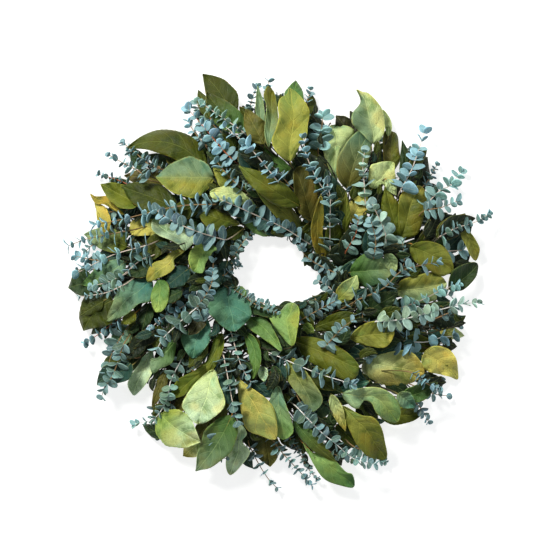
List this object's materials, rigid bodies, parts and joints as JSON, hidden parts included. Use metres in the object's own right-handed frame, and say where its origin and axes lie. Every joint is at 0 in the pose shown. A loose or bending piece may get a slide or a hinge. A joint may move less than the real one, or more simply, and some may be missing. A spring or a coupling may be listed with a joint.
{
  "type": "eucalyptus wreath",
  "caption": "Round foliage wreath of broad salal leaves and small round eucalyptus leaves, clamped in overlapping sprays on a wire ring with an open middle.",
  "frame": {"origin": "middle of the wire ring, on the plane that the wreath rests on", "axes": "+Z out of the wreath's face, +Y towards its top as pictured, +X to the right"},
  "size_m": [0.5549, 0.5457, 0.1065],
  "materials": {
    "green_wire": "dark green enamel on steel wire",
    "salal_leaf": "leathery olive green leaf, satin",
    "eucalyptus_leaf": "matt blue-green leaf with a waxy bloom"
  },
  "bodies": {
    "root": {"clamp_ring": "green_wire", "salal_spray_01": "salal_leaf", "salal_spray_02": "salal_leaf", "salal_spray_03": "salal_leaf", "salal_spray_04": "salal_leaf", "salal_spray_05": "salal_leaf", "salal_spray_06": "salal_leaf", "salal_spray_07": "salal_leaf", "salal_spray_08": "salal_leaf", "salal_spray_09": "salal_leaf", "salal_spray_10": "salal_leaf", "salal_spray_11": "salal_leaf", "salal_spray_12": "salal_leaf", "salal_spray_13": "salal_leaf", "salal_spray_14": "salal_leaf", "salal_spray_15": "salal_leaf", "salal_spray_16": "salal_leaf", "salal_spray_17": "salal_leaf", "salal_spray_18": "salal_leaf", "salal_spray_19": "salal_leaf", "salal_spray_20": "salal_leaf", "salal_spray_21": "salal_leaf", "salal_spray_22": "salal_leaf", "salal_spray_23": "salal_leaf", "salal_spray_24": "salal_leaf", "eucalyptus_spray_01": "eucalyptus_leaf", "eucalyptus_spray_02": "eucalyptus_leaf", "eucalyptus_spray_03": "eucalyptus_leaf", "eucalyptus_spray_04": "eucalyptus_leaf", "eucalyptus_spray_05": "eucalyptus_leaf", "eucalyptus_spray_06": "eucalyptus_leaf", "eucalyptus_spray_07": "eucalyptus_leaf", "eucalyptus_spray_08": "eucalyptus_leaf", "eucalyptus_spray_09": "eucalyptus_leaf", "eucalyptus_spray_10": "eucalyptus_leaf", "eucalyptus_spray_11": "eucalyptus_leaf", "eucalyptus_spray_12": "eucalyptus_leaf", "eucalyptus_spray_13": "eucalyptus_leaf", "eucalyptus_spray_14": "eucalyptus_leaf", "eucalyptus_spray_15": "eucalyptus_leaf", "eucalyptus_spray_16": "eucalyptus_leaf", "eucalyptus_spray_17": "eucalyptus_leaf", "eucalyptus_spray_18": "eucalyptus_leaf", "eucalyptus_spray_19": "eucalyptus_leaf", "eucalyptus_spray_20": "eucalyptus_leaf", "eucalyptus_spray_21": "eucalyptus_leaf", "eucalyptus_spray_22": "eucalyptus_leaf", "eucalyptus_spray_23": "eucalyptus_leaf", "eucalyptus_spray_24": "eucalyptus_leaf"}
  },
  "joints": []
}
